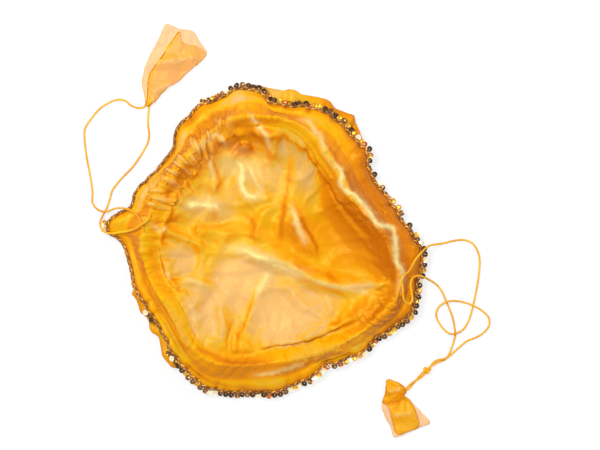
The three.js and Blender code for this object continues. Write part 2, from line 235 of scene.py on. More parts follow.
def swept(name, line, section, pitch=None, closed=False):
    """A mesh with the section swept along the line, turning once in each pitch."""
    outline = bpy.data.curves.new(name + "_section", "CURVE")
    ring = outline.splines.new("POLY")
    ring.points.add(len(section) - 1)
    for point, (x, y) in zip(ring.points, section):
        point.co = (x, y, 0.0, 1.0)
    ring.use_cyclic_u = True
    outline_object = link(name + "_section", outline)
    route = bpy.data.curves.new(name + "_route", "CURVE")
    route.dimensions = "3D"
    route.twist_mode = "MINIMUM"
    route.bevel_mode = "OBJECT"
    route.bevel_object = outline_object
    route.use_fill_caps = not closed
    spline = route.splines.new("POLY")
    spline.points.add(len(line) - 1)
    spline.use_cyclic_u = closed
    travelled = 0.0
    for i, spot in enumerate(line):
        spline.points[i].co = (*spot, 1.0)
        spline.points[i].tilt = 2 * math.pi * travelled / pitch if pitch else 0.0
        travelled += (line[(i + 1) % len(line)] - spot).length
    route_object = link(name + "_route", route)
    seen_curve = route_object.evaluated_get(bpy.context.evaluated_depsgraph_get())
    mesh = bpy.data.meshes.new_from_object(seen_curve)
    mesh.name = name
    bpy.data.objects.remove(route_object)
    bpy.data.objects.remove(outline_object)
    shape = bmesh.new()
    shape.from_mesh(mesh)
    bmesh.ops.remove_doubles(shape, verts=shape.verts, dist=1e-6)
    bmesh.ops.recalc_face_normals(shape, faces=shape.faces)
    for face in shape.faces:
        face.smooth = True
    shape.to_mesh(mesh)
    shape.free()
    return mesh


def lobed(radius, sides):
    """A round section with as many lobes as the cord has strands."""
    turns = [2 * math.pi * i / sides for i in range(sides)]
    reach = [radius * (0.96 + 0.08 * math.cos(STRANDS * a)) for a in turns]
    return [(r * math.cos(a), r * math.sin(a)) for r, a in zip(reach, turns)]


def fasten(piece, node):
    """Says that the piece lies on the bag's one body and stands for the node."""
    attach(piece, "root")
    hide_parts(node)


def fibrous_material(name, fibre_scale, shade_scale, spread, relief, shades, finish):
    """Fibres in shades between two colours, as in a cord or a thread, with the finish given."""
    material, tree = new_material(name)
    place = add_node(tree, "ShaderNodeTexCoord").outputs["Object"]
    fibres = add_node(tree, "ShaderNodeTexNoise", {"Vector": place, "Scale": fibre_scale, "Detail": 2.0})
    dye = add_node(tree, "ShaderNodeTexNoise", {"Vector": place, "Scale": shade_scale, "Detail": 1.0})
    both = add_node(tree, "ShaderNodeMath", {
        0: fibres.outputs["Fac"], 1: dye.outputs["Fac"],
    }, operation="ADD")
    share = add_node(tree, "ShaderNodeMapRange", {
        "Value": both.outputs[0], "From Min": 1.0 - spread, "From Max": 1.0 + spread,
    })
    tint = add_node(tree, "ShaderNodeMix", {
        0: share.outputs["Result"], 6: colour(shades[0]), 7: colour(shades[1]),
    }, data_type="RGBA")
    raised = add_node(tree, "ShaderNodeBump", {
        "Height": fibres.outputs["Fac"], "Strength": relief, "Distance": 0.0002,
    })
    looks = {"Base Color": tint.outputs[2], "Normal": raised.outputs["Normal"], **finish}
    skin = add_node(tree, "ShaderNodeBsdfPrincipled", looks)
    add_node(tree, "ShaderNodeOutputMaterial", {"Surface": skin.outputs[0]})
    return material


# Laid rayon cord, dyed golden yellow: silky, with a soft sheen on its fibres and a little
# gloss. Its fibres of 0.02 mm are drawn as lines of 1.1 mm, 900 to a metre, since finer ones
# don't show. The dye differs a little every 17 mm, 60 times in a metre.
RAYON_FIBRES = 900.0
RAYON_DYE = 60.0

rayon_cord = fibrous_material(
    "rayon_cord", RAYON_FIBRES, RAYON_DYE, 0.3, 0.3, ("#E89200", "#FFC62A"), {
        "Roughness": 0.45, "Specular IOR Level": 0.5, "Specular Tint": colour("#FFE090"),
        "Sheen Weight": 0.2, "Sheen Tint": colour("#FFC83C"),
    },
)


def lay_cord(name, line, node):
    piece = link(name, swept(name, line, lobed(CORD / 2, CORD_SIDES), CORD_PITCH))
    piece.data.materials.append(rayon_cord)
    fasten(piece, node)


# Near its tassel the right drawstring's two cords are twisted round each other, as two
# helices about one line. They lie a little over the table, as one thicker cord.
PAIR_RADIUS = 0.00105
PAIR_PITCH = 0.036
PAIR_LIFT = 0.0010
PAIR_OVERLAP = 6
PAIR_STRIDE = 4


def twisted_pair(points, turn):
    line = smooth_line(placed(points), CORD_STEP)
    travelled = 0.0
    strand = []
    for i, spot in enumerate(line):
        ahead = (line[min(i + 1, len(line) - 1)] - line[max(i - 1, 0)]).normalized()
        side = Vector((-ahead.y, ahead.x, 0.0)).normalized()
        angle = turn + 2 * math.pi * travelled / PAIR_PITCH
        offset = side * math.cos(angle) + Vector((0, 0, 1)) * math.sin(angle)
        strand.append(spot + Vector((0, 0, PAIR_LIFT)) + offset * PAIR_RADIUS)
        if i + 1 < len(line):
            travelled += (line[i + 1] - spot).length
    return strand


def joined(first, second):
    """One smooth line from two that meet, with their last and first few points left out."""
    return smooth_line(first[:-PAIR_OVERLAP:PAIR_STRIDE] + second[PAIR_OVERLAP::PAIR_STRIDE], CORD_STEP)


left_upper = smooth_line(placed(LEFT_UPPER), CORD_STEP)
left_lower = smooth_line(placed(LEFT_LOWER), CORD_STEP)
right_long = joined(smooth_line(placed(RIGHT_LONG), CORD_STEP), twisted_pair(RIGHT_PAIR, 0.0))
right_short = joined(smooth_line(placed(RIGHT_SHORT), CORD_STEP), twisted_pair(RIGHT_PAIR, math.pi))
lay_cord("left_strand_upper", left_upper, "drawstring_left")
lay_cord("left_strand_lower", left_lower, "drawstring_left")
lay_cord("right_strand_long", right_long, "drawstring_right")
lay_cord("right_strand_short", right_short, "drawstring_right")


# A small knot of the same cord keeps the twisted pair together. It is tied in the cords
# themselves, so it is drawn as one closed turn of cord that is knotted with itself.
KNOT_MIDDLE = CENTRE + Vector((0.1475, -0.1185, 0.0036))
KNOT_SIZE = 0.00105
KNOT_STEPS = 96
KNOT_SIDES = 10

knot_line = []
for i in range(KNOT_STEPS):
    t = 2 * math.pi * i / KNOT_STEPS
    x = math.sin(t) + 2 * math.sin(2 * t)
    y = math.cos(t) - 2 * math.cos(2 * t)
    z = -math.sin(3 * t)
    knot_line.append(KNOT_MIDDLE + Vector((x * 1.0, y * 0.9, z * 1.1)) * KNOT_SIZE)
knot_mesh = swept("right_cord_knot", knot_line, lobed(CORD / 2, KNOT_SIDES), closed=True)
knot = link("right_cord_knot", knot_mesh)
knot.data.materials.append(rayon_cord)
fasten(knot, "drawstring_right")


# The bag is sewn from two discs of tissue, cut to 340 mm, with the lining inside the outer
# cloth. Their edges are sewn together, two rows of stitches make the tunnel, and beyond it
# both are one free ruffle. RIM is the ruffle's edge and CREST the tunnel's top, in millimetres.
RIM = [
    (144, -25, 10), (142, -10, 12), (135, 4, 11), (124, 20, 9), (114, 36, 8), (103, 52, 9),
    (92, 71, 11), (89, 84, 13), (80, 95, 15), (69, 108, 17), (54, 117, 18), (35, 123, 18),
    (18, 123, 18), (5, 125, 17), (-2, 135, 16), (-13, 141, 15), (-24, 142, 14), (-34, 137, 13),
    (-46, 130, 12), (-58, 126, 11), (-70, 115, 9), (-80, 102, 8), (-85, 87, 8), (-94, 75, 9),
    (-106, 63, 10), (-115, 52, 10), (-121, 39, 9), (-126, 30, 9), (-136, 25, 10), (-145, 17, 10),
    (-146, 9, 9), (-136, 2, 9), (-129, -13, 10), (-125, -29, 12), (-120, -43, 14), (-108, -62, 16),
    (-96, -81, 17), (-87, -99, 17), (-77, -115, 15), (-63, -129, 10), (-43, -138, 6), (-21, -140, 5),
    (0, -140, 5), (20, -134, 5), (39, -125, 6), (52, -115, 8), (66, -111, 9), (80, -105, 8),
    (95, -96, 7), (110, -83, 7), (124, -73, 8), (132, -62, 9), (136, -45, 10),
]
CREST = [
    (120, -48, 26), (121, -32, 28), (115, -15, 31), (110, 1, 33), (100, 15, 34), (86, 32, 34),
    (74, 47, 34), (66, 63, 34), (55, 80, 34), (43, 96, 33), (28, 107, 32), (12, 112, 31),
    (-4, 113, 30), (-21, 113, 30), (-38, 109, 29), (-54, 97, 28), (-69, 81, 27), (-83, 66, 26),
    (-95, 52, 25), (-102, 35, 25), (-109, 18, 25), (-113, 1, 24), (-111, -17, 22), (-105, -36, 22),
    (-94, -54, 24), (-82, -75, 25), (-70, -94, 24), (-54, -108, 22), (-34, -113, 20), (-13, -113, 20),
    (8, -110, 20), (29, -107, 20), (49, -101, 20), (69, -93, 20), (86, -83, 21), (102, -70, 22),
    (113, -59, 24),
]
# A point of a cloth is named by its direction from the middle, its turn, and by how far out it
# lies on the flat disc, its share from 0 to 1. CUT is the disc's radius, and the seams and the
# crest have their shares of it. The rest are how far the inner seam lies within the crest, how
# far the cords lift the lining, how high it rests over the table, and the cloth's thickness.
TURN = 2 * math.pi
CUT = 0.170
INNER_SEAM = 0.70
CREST_LINE = 0.76
OUTER_SEAM = 0.84
SEAM_TO_CREST = 0.009
TUNNEL_LIFT = 0.0016
LINING_REST = 0.0030
CLOTH = 0.0003


def ring_through(points):
    """The outline's reach and height, asked for by an array of directions."""
    line = smooth_line(metres(points), 0.002, closed=True)
    way = np.array([math.atan2(p.y, p.x) for p in line])
    reach = np.array([math.hypot(p.x, p.y) for p in line])
    height = np.array([p.z for p in line])
    return lambda turn: [np.interp(turn, way, found, period=TURN) for found in (reach, height)]


rim_at = ring_through(RIM)
crest_at = ring_through(CREST)


def lofted(stations, share):
    """Reach and height at each share, through stations given as (share, reach, height)."""
    known = np.array([s[0] for s in stations])
    k = np.clip(np.searchsorted(known, share, side="right") - 1, 0, len(known) - 2)
    t = (share - known[k]) / (known[k + 1] - known[k])
    each = np.arange(len(share))
    span = known[k + 1] - known[k]
    found = []
    for column in (1, 2):
        values = np.stack([s[column] + 0 * share for s in stations])
        slopes = np.gradient(values, known, axis=0)
        a, b = values[k, each], values[k + 1, each]
        c, d = slopes[k, each] * span, slopes[k + 1, each] * span
        found.append(
            a * (2 * t**3 - 3 * t**2 + 1) + c * (t**3 - 2 * t**2 + t)
            + b * (3 * t**2 - 2 * t**3) + d * (t**3 - t**2)
        )
    return found


def lerp(a, b, share):
    return a + (b - a) * share


def smooth(value, low, high):
    """0 below low and 1 above high, with a soft rise between them."""
    t = np.clip((value - low) / (high - low), 0, 1)
    return t * t * (3 - 2 * t)


def wander(turn, share, round_count, out_count, seed):
    """Smooth noise from -1 to 1 with about six times round_count swells round the bag."""
    return np.array([
        noise.noise(Vector((math.cos(a) * round_count, math.sin(a) * round_count, s * out_count + seed)))
        for a, s in zip(turn, share)
    ])


def near(turn, middle, half):
    """1 in the direction of middle, falling to 0 at half to each side, both in degrees."""
    off = (np.degrees(turn) - middle + 540) % 360 - 180
    return smooth(half - np.abs(off), 0, half)


def ridges(turn, share, round_count, out_count, seed):
    """Round puffs of cloth with sharp creases between them, from 0 in a crease to 1."""
    return np.minimum(1.0, 3.2 * np.abs(wander(turn, share, round_count, out_count, seed)))


def seam_inset(turn):
    """How far within the crest the tunnel's inner seam runs."""
    return SEAM_TO_CREST * (1 + 0.8 * wander(turn, 0 * turn, 1.6, 0.0, 81.0))


def lining_stations(turn):
    """The lining's profile: up the side wall, over the tunnel and out to the edge."""
    crest, top = crest_at(turn)
    rim, edge = rim_at(turn)
    width = rim - crest
    base = LINING_REST
    fallen_away = near(turn, 25, 60)
    gentle = near(turn, 235, 115)
    inset = seam_inset(turn)
    beyond = lerp(top, edge, 0.17) + 0.0006 - 0.0024 * fallen_away
    at_seam = lerp(top, edge, 0.42) - 0.0004 - 0.0034 * fallen_away
    return [
        (0.0, 0 * crest, base),
        (0.28, 0.42 * crest, base),
        (0.43, (0.64 - 0.03 * gentle) * crest, base + 0.0015 + 0.03 * gentle * top),
        (0.53, (0.78 - 0.05 * gentle) * crest, base + 0.20 * top),
        (0.62, (0.86 - 0.02 * gentle) * crest, base + 0.42 * top),
        (INNER_SEAM, crest - inset, top - 0.64 * inset),
        (0.730, crest - 0.52 * inset, top - 0.16 * inset),
        (CREST_LINE, crest, top + TUNNEL_LIFT),
        (0.795, crest + 0.17 * width, beyond),
        (OUTER_SEAM, crest + 0.42 * width, at_seam),
        (0.92, crest + 0.74 * width, lerp(top, edge, 0.74) + 0.0016),
        (1.0, rim, edge),
    ]


def gathers(turn, share):
    """How far the cloth puffs out between the stitches that gather it."""
    strength = 0.35 + 1.25 * near(turn, 140, 66) + 0.7 * near(turn, -28, 18)
    strength = strength + 0.3 * near(turn, -60, 40)
    window = smooth(share, 0.58, 0.70) * (1 - smooth(share, 0.79, 0.88))
    bend = turn + 0.07 * wander(turn, share, 2.0, 6.0, 3.0)
    puffs = 0.6 * ridges(bend, share, 15.0, 4.0, 7.1) + 0.4 * ridges(bend, share, 30.0, 8.0, 2.3)
    scallops = near(turn, 25, 55) * (1 - smooth(np.abs(share - CREST_LINE), 0.01, 0.05))
    waves = np.abs(np.sin(16 * turn + 2.5 * wander(turn, share, 2.0, 0.0, 9.0)))
    pull = smooth(share, 0.36, 0.60) * (1 - smooth(share, 0.64, 0.71))
    tension = 0.0030 * pull * ridges(bend, share, 7.0, 1.2, 31.0) * (1 - 0.85 * near(turn, 5, 65))
    return 0.0038 * strength * window * (puffs - 0.2) + 0.0022 * scallops * waves + tension


def flutes(turn, share):
    """How the free ruffle swells and dips between its seam and its edge."""
    window = smooth(share, OUTER_SEAM - 0.02, 1.0)
    puffs = 0.0026 * (ridges(turn, share, 7.0, 1.0, 4.0) - 0.5)
    swell = 0.0042 * wander(turn, share, 4.0, 1.0, 11.0) + puffs
    small = 0.0010 * wander(turn, share, 14.0, 5.0, 21.0) * smooth(share, 0.78, 0.86)
    slack = smooth(share, 0.56, 0.68) * (1 - smooth(share, 0.94, 1.0)) * (1 - 0.8 * near(turn, 25, 70))
    across = 0.0026 * slack * wander(turn + 0.5 * share, share, 3.6, 9.0, 71.0)
    return swell * window + small + across


def shaped(stations_at, turn, share, lift=0.0):
    """The cloth's points, lifted square to its profile by lift, the gathers and the flutes."""
    stations = stations_at(turn)
    reach, height = lofted(stations, share)
    farther, higher = lofted(stations, share + 0.004)
    nearer, lower = lofted(stations, share - 0.004)
    length = np.hypot(farther - nearer, higher - lower)
    out, up = (farther - nearer) / length, (higher - lower) / length
    rise = lift + gathers(turn, share) + flutes(turn, share)
    reach = reach - up * rise
    height = height + out * rise
    x, y = reach * np.cos(turn) + CENTRE.x, reach * np.sin(turn) + CENTRE.y
    return np.stack([x, y, height], axis=1)


def cut_rows(rows):
    """Points of the flat disc in rings. Each row says from and to which share it goes, how
    far apart its rings are, and how far apart the points on them."""
    turn, share = [0.0], [0.0]
    count = 0
    for start, stop, apart, along in rows:
        rings = max(1, round((stop - start) * CUT / apart))
        for i in range(1, rings + 1):
            at = start + (stop - start) * i / rings
            spots = max(6, round(TURN * at * CUT / along))
            count += 1
            for j in range(spots):
                turn.append((TURN * (j + 0.5 * (count % 2)) / spots) % TURN)
                share.append(at)
    return np.array(turn), np.array(share)


def cut_faces(turn, share):
    flat = [Vector((s * math.cos(a), s * math.sin(a))) for a, s in zip(turn, share)]
    found = geometry.delaunay_2d_cdt(flat, [], [], 0, 1e-9)
    assert len(found[0]) == len(flat)
    return found[2]


def cloth_data(name, turn, share, spots, faces, pale, painted_highlight):
    data = bpy.data.meshes.new(name)
    data.from_pydata([tuple(p) for p in spots], [], faces)
    layer = data.uv_layers.new(name="cut")
    for corner in data.loops:
        a, s = turn[corner.vertex_index], share[corner.vertex_index]
        layer.data[corner.index].uv = (0.5 + 0.5 * s * math.cos(a), 0.5 + 0.5 * s * math.sin(a))
    for kept, values in (("pale", pale), ("painted_highlight", painted_highlight)):
        data.attributes.new(kept, "FLOAT", "POINT").data.foreach_set("value", values.astype(np.float32))
    for face in data.polygons:
        face.use_smooth = True
    return data


def thickened(piece, thickness):
    thick = piece.modifiers.new("thickness", "SOLIDIFY")
    thick.thickness = thickness
    thick.offset = 0.0


# The lining is the disc of tissue that shows inside the bag. It lies crumpled on the outer
# cloth, in a few big folds. Each fold has its height, its width on the left and on the right
# of its line, and the line, all in millimetres.
FOLDS = (
    (10, 16, 10, [(-40, -6), (-18, -9), (-9.5, -14.7), (9, -18.4), (23, -23.6), (37.6, -33.4),
        (57, -40), (76, -43.8), (98.6, -48.4)]),
    (4, 20, 14, [(4.5, -26.9), (-6.7, -41.1), (-12.4, -59.8), (-18.9, -77.6), (-24.7, -89.8)]),
    (5, 9, 13, [(-30.2, 73.5), (-22, 67.8), (-20.6, 49.1), (-15.5, 41.7), (2, 36)]),
    (4, 9, 10, [(-12, 80), (-4.8, 60), (-0.2, 41.5), (6, 30)]),
    (6, 6, 9, [(-56, 83), (-50.8, 73.5), (-46.2, 55.5), (-49, 40)]),
    (9, 14, 8, [(-13.3, 104.8), (-3.9, 102.5), (1.7, 94.2), (5.5, 81.9), (8, 68)]),
    (7, 10, 7, [(-72, 70), (-64, 80), (-54.2, 88.6), (-43.3, 96), (-38.5, 91.4), (-33, 83.1)]),
    (7, 6, 12, [(-36, 80), (-30.2, 79.4), (-22, 86.3), (-9.5, 82.7)]),
    (6, 34, 16, [(30, 84), (27.5, 60), (22.5, 34.5), (17, 18), (13.9, -4.3)]),
    (8, 6, 22, [(22.5, 34.5), (32.3, 14.1), (42.3, -4.3), (46, -18)]),
    (6, 10, 10, [(-84.6, 22), (-73.5, 28.8), (-59.7, 34.4), (-46.8, 27), (-39.4, 34.4)]),
    (6, 7, 10, [(-96, 12), (-84.6, 6.8), (-63.1, -2.6), (-50, -10)]),
    (5, 9, 14, [(-75, 12), (-44.3, 7.7), (-32.1, 6.8), (-22.9, -0.6)]),
    (5, 12, 10, [(18.5, 35.3), (-2.1, 25.6), (-8.6, 6.8), (-6, -6)]),
    (7, 10, 7, [(66, -35), (78, -40.2), (96.7, -40.6), (115.5, -39.2)]),
    (5, 8, 8, [(-80, -28), (-67, -37.4), (-54.6, -41.1), (-44, -55)]),
    (5, 10, 12, [(-44, -55), (-40, -75), (-46, -92)]),
    (5, 14, 10, [(10, -30), (30, -55), (60, -75)]),
    (6, 10, 16, [(52, 60), (62, 36), (82, 10), (98, -10)]),
)


def beside(spots, line):
    """How far each point is from the line, on which side, and how far along it."""
    knots = smooth_line([(x, y, 0.0) for x, y in metres(line)], 0.002)
    best = np.full(len(spots), 1.0)
    side = np.zeros(len(spots))
    along = np.zeros(len(spots))
    for i, knot in enumerate(knots[:-1]):
        step = (knots[i + 1] - knot).normalized()
        x, y = spots[:, 0] - knot.x - CENTRE.x, spots[:, 1] - knot.y - CENTRE.y
        off = np.hypot(x, y)
        closer = off < best
        best = np.where(closer, off, best)
        side = np.where(closer, step.x * y - step.y * x, side)
        along = np.where(closer, i / (len(knots) - 1), along)
    return best, side, along


def folded(spots):
    """How high the listed folds stand at each point."""
    rise = np.zeros(len(spots))
    for *sizes, line in FOLDS:
        height, left, right = metres([sizes])[0]
        best, side, along = beside(spots, line)
        slope = np.maximum(0.0, 1 - best / np.where(side > 0, left, right))
        taper = smooth(along, -0.01, 0.3) * (1 - smooth(along, 0.7, 1.01)) * 0.85 + 0.15
        added = 0.25 * np.minimum(rise, height * taper * slope)
        rise = np.maximum(rise, height * taper * slope**1.35) + added
    return rise


def crumpled(spots):
    """The small creases of a cloth that has been crushed, from 0 up."""
    rise = np.zeros(len(spots))
    for height, across, seed in ((0.0040, 0.055, 5.0), (0.0018, 0.024, 15.0), (0.0006, 0.010, 25.0)):
        found = []
        for x, y, _ in spots:
            pull = noise.noise(Vector((x / 0.07, y / 0.07, seed + 3)))
            along = Vector((x / across + pull, y / across - pull, seed))
            found.append(abs(noise.noise(along)) * 3.0)
        rise += height * (1 - np.minimum(1.0, np.array(found))) ** 1.6
    taut = np.exp(-(((spots[:, 0] - 0.072) / 0.032) ** 2) - ((spots[:, 1] - 0.004) / 0.046) ** 2)
    return rise * (1 - 0.85 * taut)


turn, share = cut_rows([(0.0, 0.735, 0.0020, 0.0020), (0.735, 1.0, 0.00135, 0.00135)])
faces = cut_faces(turn, share)
spots = shaped(lining_stations, turn, share)
spots[:, 2] += (folded(spots) + crumpled(spots)) * (1 - smooth(share, 0.63, 0.73))

# Where the cloth lies single it is pale, and where it is doubled or gathered it is deep
# orange. The places below 0 are painted shade, deepest on the right where the cloth leans away
# from the lamp, and the one at (-20, 62) is a painted highlight. Each place has its middle, its
# half width and half height in millimetres, and how much paler it is. The rings have their share
# of the disc, half width and how much darker.
THIN_AND_PAINTED_LIGHT_PLACES = (
    (19, 90, 15, 13, 0.6), (40, 64, 10, 18, 0.5), (-78, -16, 16, 13, 0.5), (-61, -71, 22, 28, 0.7),
    (-25, -37, 20, 20, 0.7), (25, -73, 38, 30, 0.7), (47, 32, 12, 20, 0.2), (96, -40, 22, 5, 0.6),
    (-24, 129, 14, 10, 0.6), (-104, 60, 9, 18, 0.8), (-80, 98, 8, 16, 0.8), (-118, 36, 8, 10, 0.6),
    (74, 6, 40, 30, -0.6), (124, -6, 12, 34, -1.4), (112, 30, 13, 34, -1.4), (94, 62, 13, 30, -1.2),
    (-20, 62, 34, 22, 0.3), (-58, 31, 20, 9, 0.35), (-4, -22, 18, 8, 0.35), (10, 138, 30, 8, 0.5),
    (70, 122, 14, 8, -0.8), (-20, 83, 14, 5, -0.6), (-10, -118, 60, 8, -0.6), (30, 0, 10, 20, -0.3),
    (-45, 105, 30, 16, -0.3), (110, -70, 30, 10, -0.5),
)
RINGS = ((0.67, 0.055, 0.30), (OUTER_SEAM, 0.010, 0.12), (1.0, 0.022, 0.35))
TONE = 0.42

# Narrow painted highlights, above 0, and painted shade in dark creases, below 0: how much, the
# half width in millimetres, and the line.
STREAKS = (
    (0.95, 3.8, [(-31.8, 74.1), (-23.5, 68.5), (-22.6, 49.7), (-17.1, 42.3), (-1.7, 41.7)]),
    (0.8, 2.5, [(-19.8, 74.1), (-13, 61.7), (-6.4, 49.7), (-1.7, 42.3)]),
    (0.8, 1.8, [(-52.4, 74.1), (-47.7, 56.2)]),
    (0.9, 4.2, [(-74.1, 35), (-63.1, 32.2), (-52.9, 34.1), (-41.9, 27.6)]),
    (0.6, 2, [(-104, 14.8), (-97.5, 10.2), (-90.7, 12)]),
    (0.6, 2, [(8.7, 68.5), (16.1, 60.8)]),
    (0.85, 5, [(-35.5, -6), (-19.8, -8.8), (-4.2, -15.6), (11.5, -23), (23.4, -28.5), (38.1, -34.9)]),
    (0.6, 1.8, [(38.1, -34.9), (55.6, -40.4), (76.8, -44.1), (97, -48.7)]),
    (0.8, 4, [(3.2, -26.7), (-4.2, -39.5), (-7.9, -50.6)]),
    (0.7, 2.6, [(22.5, 33.2), (27.1, 17.5), (36.3, -2.7)]),
    (0.7, 2.2, [(-14.9, 115.4), (-5.5, 103.1), (0.1, 94.8), (3.9, 82.8)]),
    (0.6, 2.2, [(-65.5, 80.6), (-56.6, 89.3), (-44.8, 96.6), (-34.5, 83.8)]),
    (0.6, 2.4, [(31.3, 110.7), (38.1, 109.5), (42.7, 103.1), (50.1, 92), (53.8, 78.2)]),
    (0.95, 2.4, [(53.8, 78.2), (61.1, 69.9), (67.9, 63.5), (68.9, 48.8), (81.1, 41.4), (93.3, 27.2),
        (101.6, 15.7), (114.9, 12), (117.7, -2.7), (119.1, -19.3), (123.7, -26.7), (120, -47.8)]),
    (0.5, 1.8, [(-12, -122.5), (6, -120.5), (20, -116.5), (36, -111.5)]),
    (0.45, 13, [(-46, 72), (-20, 66), (6, 56)]),
    (0.3, 12, [(-66, 36), (-44, 30)]),
    (0.5, 3, [(-75, -31.3), (-63.1, -38.6), (-55.7, -45.1)]),
    (0.5, 2, [(-92.5, -27.6), (-87, -34)]),
    (-0.9, 2, [(22.5, 77.3), (20.2, 56.2), (17, 35.9), (14.2, 17.5), (12.4, -3.7)]),
    (-0.8, 1.8, [(3.2, -26.7), (-8.2, -40.4), (-13.9, -58.8), (-20.5, -77.2), (-26.3, -89.2),
        (-27.2, -102.1)]),
    (-0.7, 5, [(-31.8, 84.7), (-21.7, 86.5), (-11.1, 83.8)]),
    (-0.6, 2.2, [(29.5, -23.4), (54.7, -30.3), (70.8, -39.5)]),
    (-0.6, 2.6, [(-24.4, 25.8), (-10.6, 13.8), (-14.3, 1)]),
    (-0.7, 1.8, [(-112.5, -17.5), (-110.6, -36.8), (-103.1, -53.3), (-92.5, -74.5)]),
    (-0.8, 2.2, [(-75, -95.6), (-50.5, -103), (-35.5, -110.4), (-6, -111.3), (21.6, -111.3)]),
    (-0.5, 3, [(5, 79.2), (-4.2, 56.2), (3.2, 37.7)]),
    (-0.7, 2, [(-70.4, 69.9), (-84.2, 51.6), (-93.4, 37.7)]),
)


def streaked(spots, turn, share):
    """How much painted highlight lies on the cloth, and how much painted shade darkens its creases."""
    painted_highlight, painted_crease_shade = np.zeros(len(spots)), np.zeros(len(spots))
    ragged = np.array([noise.noise(Vector((x * 220, y * 220, 1.0))) for x, y, _ in spots])
    for much, half, line in STREAKS:
        best, _, along = beside(spots, line)
        ends = smooth(along, -0.02, 0.2) * (1 - smooth(along, 0.8, 1.02))
        width = half / 1000 * (1 + 0.7 * ragged)
        here = abs(much) * (0.3 + 0.7 * ends) * np.exp(-((best / width) ** 2))
        if much > 0:
            painted_highlight = np.maximum(painted_highlight, here)
        else:
            painted_crease_shade = np.maximum(painted_crease_shade, here)
    # Painted highlights on the puffed tips of the gathers on the upper left.
    window = smooth(share, 0.66, 0.74) * (1 - smooth(share, 0.76, 0.84))
    puffed = smooth(gathers(turn, share), 0.0012, 0.0038)
    painted_tip_highlights = near(turn, 140, 70) * window * puffed * (0.6 + ragged)
    return np.maximum(painted_highlight, 0.5 * np.clip(painted_tip_highlights, 0, 1)), painted_crease_shade


def toned(spots, turn, share):
    """How pale the cloth looks: 1 where it lies single, 0 where doubled, with painted shade and
    highlights added.
    """
    tone = np.full(len(spots), TONE)
    for *sizes, more in THIN_AND_PAINTED_LIGHT_PLACES:
        x, y, wide, high = metres([sizes])[0]
        off = ((spots[:, 0] - x) / wide) ** 2 + ((spots[:, 1] - y) / high) ** 2
        tone = tone + more * np.exp(-0.7 * off)
    for ring, half, less in RINGS:
        tone = tone - less * np.exp(-(((share - ring) / half) ** 2))
    # A scalloped painted highlight along the crest on the right.
    painted_crest_highlight = np.exp(-(((share - CREST_LINE + 0.006) / 0.013) ** 2)) * near(turn, 25, 60)
    return tone + painted_crest_highlight * (0.45 + 0.60 * ridges(turn, 0 * share, 5.0, 0.0, 61.0))


painted_highlight, painted_crease_shade = streaked(spots, turn, share)
# The painted shade in the creases makes the cloth's tone darker there.
tone_now = toned(spots, turn, share) - 0.9 * painted_crease_shade
lining = link("lining_cloth", cloth_data("lining_cloth", turn, share, spots, faces, tone_now, painted_highlight))
thickened(lining, CLOTH)
fasten(lining, "lining")

# Tissue, a sheer plain weave of golden yellow warp with a flat metallic weft. It is crisp,
# half transparent and shiny, pale where it lies single and orange where it leans or is doubled.
# Painted shade darkens it in creases and on slopes away from the lamp, and painted highlights of
# nearly white yellow are mixed into its colour along streaks. Its crushed facets are 16 mm wide,
# 62 to a metre, and its pale patches 38 mm, 26 to a metre. The weave's threads of 0.1 mm are
# drawn 1.1 mm wide, 900 to a metre, since finer ones don't show.
CRUSH = 62.0
PATCHES = 26.0
WEAVE = 900.0
THICKEST = 0.97
THINNEST = 0.40


